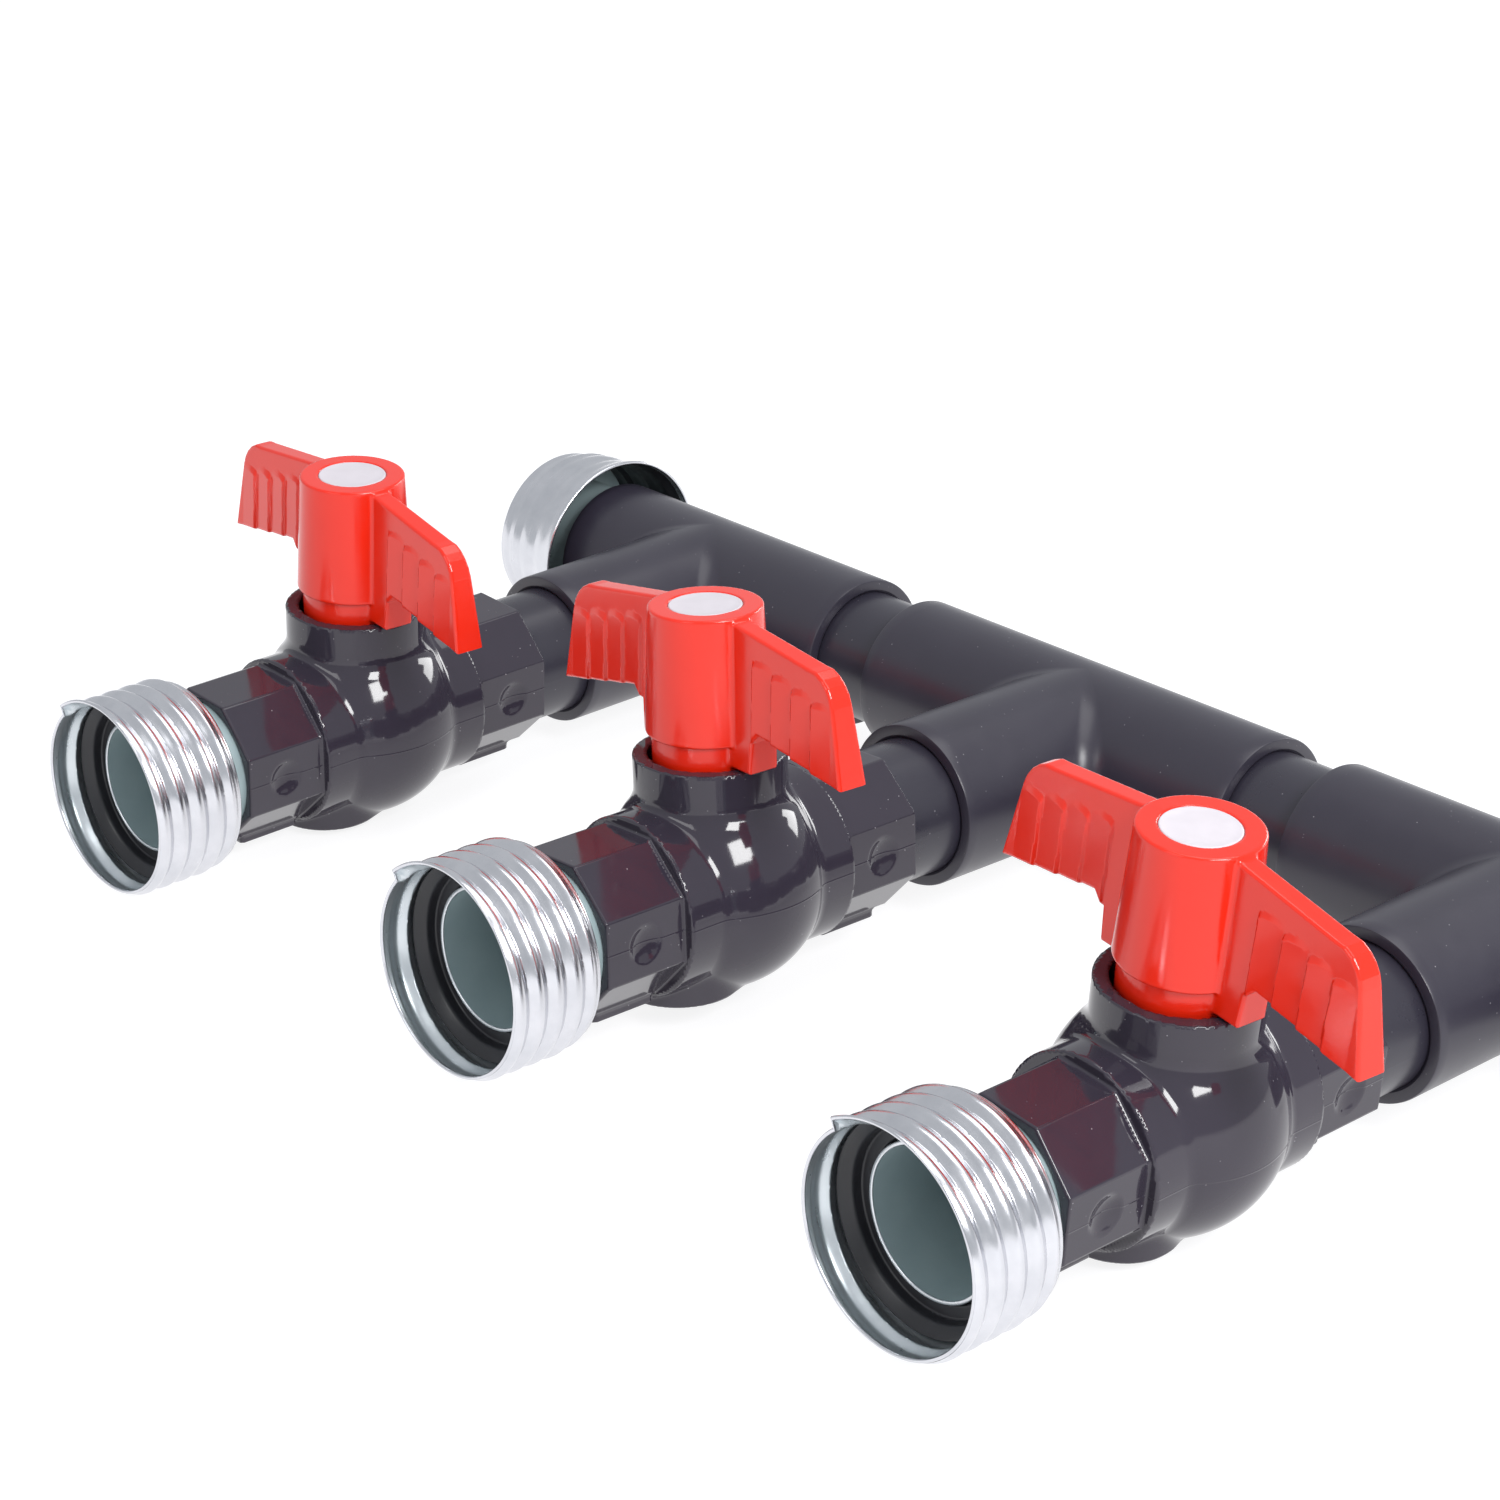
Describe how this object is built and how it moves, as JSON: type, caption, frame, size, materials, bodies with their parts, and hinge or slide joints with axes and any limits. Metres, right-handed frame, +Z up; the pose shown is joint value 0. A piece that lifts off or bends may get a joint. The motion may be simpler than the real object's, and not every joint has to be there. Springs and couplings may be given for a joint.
{
  "type": "three way valve",
  "caption": "Pipe manifold with a row of ball valve outlets, red winged handles, and zinc-plated rolled-thread couplings on the outlets and the inlet.",
  "frame": {"origin": "centre of the middle tee, on the header axis", "axes": "+X along the header away from the inlet, -Y along the branches towards the outlets, +Z up along the valve stems"},
  "size_m": [0.4924, 0.2722, 0.1149],
  "materials": {
    "pvc_grey": "moulded PVC-U, satin gloss",
    "abs_red": "moulded, glossy red",
    "cap_white": "smooth white",
    "ptfe_white": "turned PTFE",
    "stem_grey": "moulded PVC-U",
    "ball_grey": "polished PVC-U",
    "rubber_black": "moulded EPDM",
    "screw_steel": "bright steel",
    "zinc_nut": "zinc-plated rolled sheet steel",
    "zinc_sleeve": "zinc-plated rolled sheet steel",
    "zinc_tube": "passivated zinc plating"
  },
  "bodies": {
    "manifold": {"tee_1": "pvc_grey", "tee_2": "pvc_grey", "tee_3": "pvc_grey", "nipple_1": "pvc_grey", "nipple_2": "pvc_grey", "end_plug": "pvc_grey", "inlet_tube": "zinc_tube", "inlet_sleeve": "zinc_sleeve", "branch_pipe_1": "pvc_grey", "valve_body_1": "pvc_grey", "seat_outlet_1": "ptfe_white", "seat_inlet_1": "ptfe_white", "outlet_tube_1": "zinc_tube", "gasket_1": "rubber_black", "branch_pipe_2": "pvc_grey", "valve_body_2": "pvc_grey", "seat_outlet_2": "ptfe_white", "seat_inlet_2": "ptfe_white", "outlet_tube_2": "zinc_tube", "gasket_2": "rubber_black", "branch_pipe_3": "pvc_grey", "valve_body_3": "pvc_grey", "seat_outlet_3": "ptfe_white", "seat_inlet_3": "ptfe_white", "outlet_tube_3": "zinc_tube", "gasket_3": "rubber_black"},
    "handle_and_ball_1": {"handle_1": "abs_red", "handle_cap_1": "cap_white", "handle_screw_1": "screw_steel", "stem_1": "stem_grey", "stem_ring_1": "rubber_black", "ball_1": "ball_grey"},
    "coupling_1": {"coupling_nut_1": "zinc_nut"},
    "handle_and_ball_2": {"handle_2": "abs_red", "handle_cap_2": "cap_white", "handle_screw_2": "screw_steel", "stem_2": "stem_grey", "stem_ring_2": "rubber_black", "ball_2": "ball_grey"},
    "coupling_2": {"coupling_nut_2": "zinc_nut"},
    "handle_and_ball_3": {"handle_3": "abs_red", "handle_cap_3": "cap_white", "handle_screw_3": "screw_steel", "stem_3": "stem_grey", "stem_ring_3": "rubber_black", "ball_3": "ball_grey"},
    "coupling_3": {"coupling_nut_3": "zinc_nut"}
  },
  "joints": [
    {"name": "handle_1_turn", "type": "hinge", "parent": "manifold", "child": "handle_and_ball_1", "pos_m": [-0.16334, -0.14733, 0.03504], "axis": [0.0436, -0.0125, 0.999], "range_deg": [0, 94]},
    {"name": "coupling_1_spin", "type": "hinge", "parent": "manifold", "child": "coupling_1", "pos_m": [-0.16387, -0.22386, -0.00293], "axis": [0.014, -0.9998, -0.0131], "continuous": true},
    {"name": "handle_2_turn", "type": "hinge", "parent": "manifold", "child": "handle_and_ball_2", "pos_m": [-0.002, -0.14631, 0.03923], "axis": [-0.061, 0.0156, 0.998], "range_deg": [0, 94]},
    {"name": "coupling_2_spin", "type": "hinge", "parent": "manifold", "child": "coupling_2", "pos_m": [0.00039, -0.22387, 0.00352], "axis": [0.0017, -0.9999, 0.0157], "continuous": true},
    {"name": "handle_3_turn", "type": "hinge", "parent": "manifold", "child": "handle_and_ball_3", "pos_m": [0.16843, -0.14712, 0.03609], "axis": [0.0871, -0.0063, 0.9962], "range_deg": [0, 94]},
    {"name": "coupling_3_spin", "type": "hinge", "parent": "manifold", "child": "coupling_3", "pos_m": [0.16426, -0.22388, -0.00117], "axis": [-0.0122, -0.9999, -0.0052], "continuous": true}
  ]
}
